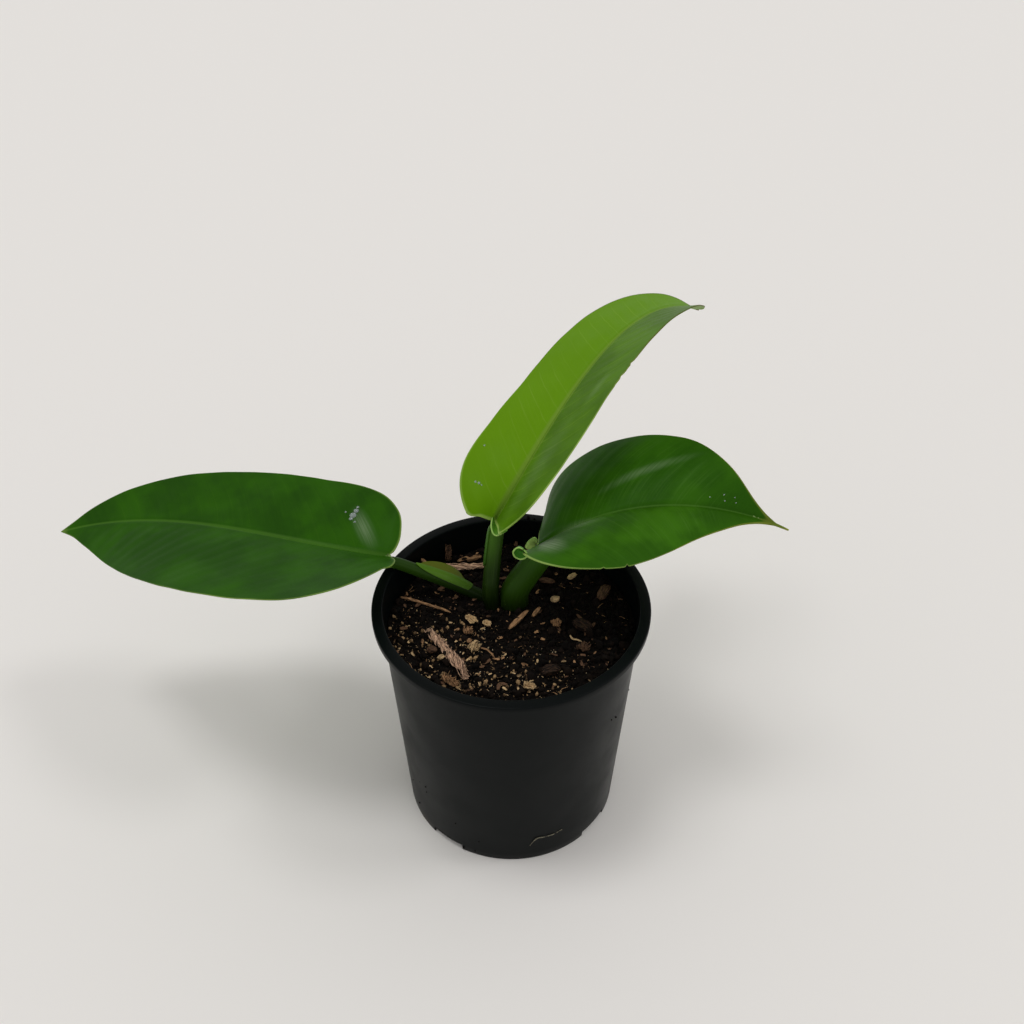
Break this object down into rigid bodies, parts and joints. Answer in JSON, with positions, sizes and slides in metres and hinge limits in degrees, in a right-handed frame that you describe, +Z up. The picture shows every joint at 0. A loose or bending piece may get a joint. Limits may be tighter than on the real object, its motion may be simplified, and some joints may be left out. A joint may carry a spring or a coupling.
{
  "type": "potted philodendron",
  "caption": "Young philodendron with broad leaves on slim stalks, rooted in potting mix in a tapered black nursery pot with a turned-down lip and drained foot.",
  "frame": {"origin": "bottom centre of the whole plant's bounding box, on the surface the pot stands on", "axes": "+Z up the pot's axis; the plant is seen from -Y, with its low leaf towards -X"},
  "size_m": [0.351, 0.2182, 0.2257],
  "materials": {
    "black_polypropylene": "injection-moulded black polypropylene, satin",
    "potting_mix": "damp peat and bark fines, matt",
    "crown": "short green-brown stem, matt",
    "petiole_green": "living leaf stalk, satin green",
    "blade_left": "waxy dark green leaf, satin",
    "blade_centre": "waxy yellow-green young leaf, satin",
    "blade_right": "waxy mid-green leaf, satin",
    "sheath": "thin pale yellow-green sheath, satin",
    "root": "cream root, matt",
    "bark": "brown bark, matt",
    "straw": "tan straw and splinters, matt",
    "husk": "cream husks and seeds, matt"
  },
  "bodies": {
    "root": {"nursery_pot": "black_polypropylene", "potting_mix": "potting_mix", "stem": "crown", "petiole_left": "petiole_green", "petiole_centre": "petiole_green", "petiole_right": "petiole_green", "blade_left": "blade_left", "blade_centre": "blade_centre", "blade_right": "blade_right", "sheath_left": "sheath", "sheath_right": "sheath", "root_1": "root", "root_2": "root", "root_3": "root", "root_4": "root", "root_5": "root", "bark_strip": "bark", "back_chip": "bark", "right_chip": "bark", "side_chip": "bark", "dark_chip_right": "bark", "dark_chip_front": "bark", "nut_shell": "bark", "long_twig": "straw", "back_stick": "straw", "front_fibre": "straw", "peel_strip": "straw", "rear_left_chip": "straw", "splinter_long": "straw", "splinter_short": "straw", "tan_seed": "straw", "curved_fibre": "husk", "bright_chip": "husk", "husk_left": "husk", "husk_middle": "husk", "husk_front": "husk", "pale_seed": "husk", "shell_grain": "husk"}
  },
  "joints": []
}
